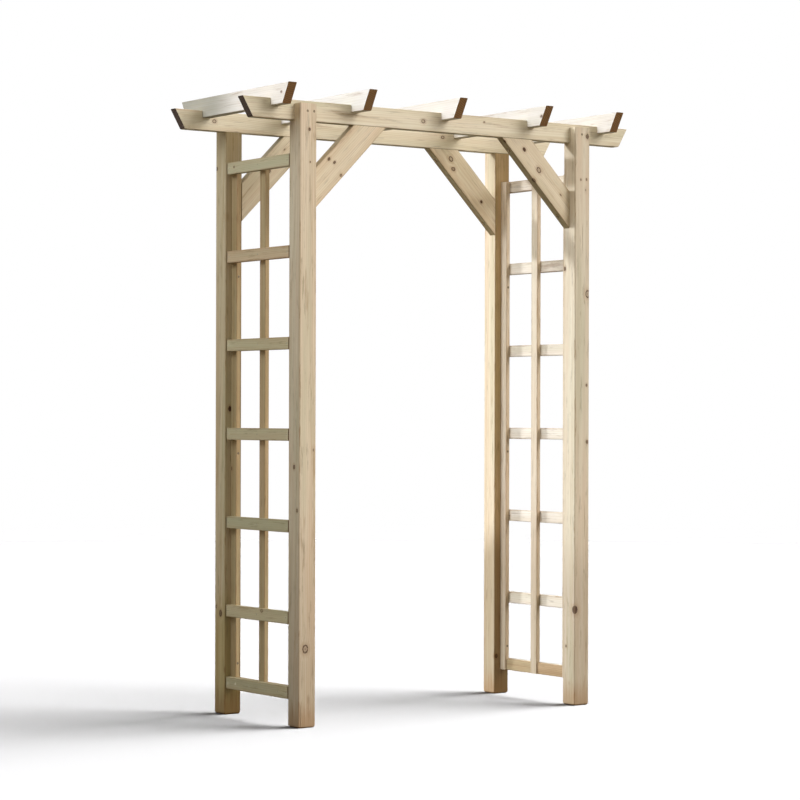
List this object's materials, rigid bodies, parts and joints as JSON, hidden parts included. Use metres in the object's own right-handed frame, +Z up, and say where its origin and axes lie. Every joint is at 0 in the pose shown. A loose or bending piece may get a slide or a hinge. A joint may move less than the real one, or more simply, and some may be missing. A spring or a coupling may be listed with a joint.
{
  "type": "garden pergola arch",
  "caption": "Free-standing timber garden arch with trellis sides, braced rails and halved rafters overhead.",
  "frame": {"origin": "on the ground, midway between the four posts", "axes": "+X along the rails, from the left trellis to the right one; +Y along the walkway, from front to back; +Z up"},
  "size_m": [1.75, 0.73, 2.262],
  "materials": {
    "post_timber": "planed and pressure-treated softwood, pale beige with a green cast",
    "rail_timber": "planed and pressure-treated softwood, pale beige",
    "rafter_timber": "planed and pressure-treated softwood, pale cream, dark end grain",
    "brace_timber": "planed and pressure-treated softwood, beige, knotty",
    "slat_timber": "fine-sawn and pressure-treated softwood lath",
    "rung_timber": "fine-sawn and pressure-treated softwood lath, grey-green cast",
    "block_timber": "fine-sawn softwood offcut, brown",
    "screw_steel": "dull plated",
    "nail_steel": "dull galvanised"
  },
  "bodies": {
    "root": {"post_front_left": "post_timber", "brace_front_left": "brace_timber", "post_front_right": "post_timber", "brace_front_right": "brace_timber", "post_back_left": "post_timber", "brace_back_left": "brace_timber", "post_back_right": "post_timber", "brace_back_right": "brace_timber", "rail_front": "rail_timber", "rail_back": "rail_timber", "rafter_1": "rafter_timber", "rafter_2": "rafter_timber", "rafter_3": "rafter_timber", "rafter_4": "rafter_timber", "rafter_5": "rafter_timber", "slat_left_front": "slat_timber", "slat_left_middle": "slat_timber", "slat_left_back": "slat_timber", "rung_left_1": "rung_timber", "rung_left_2": "rung_timber", "rung_left_3": "rung_timber", "rung_left_4": "rung_timber", "rung_left_5": "rung_timber", "rung_left_6": "rung_timber", "rung_left_7": "rung_timber", "block_left_front": "block_timber", "block_left_back": "block_timber", "slat_right_front": "slat_timber", "slat_right_middle": "slat_timber", "slat_right_back": "slat_timber", "rung_right_1": "rung_timber", "rung_right_2": "rung_timber", "rung_right_3": "rung_timber", "rung_right_4": "rung_timber", "rung_right_5": "rung_timber", "rung_right_6": "rung_timber", "rung_right_7": "rung_timber", "block_right_front": "block_timber", "block_right_back": "block_timber", "tongue_screws": "screw_steel", "rafter_screws": "screw_steel", "brace_screws": "screw_steel", "slat_screws": "screw_steel", "trellis_nails": "nail_steel"}
  },
  "joints": []
}
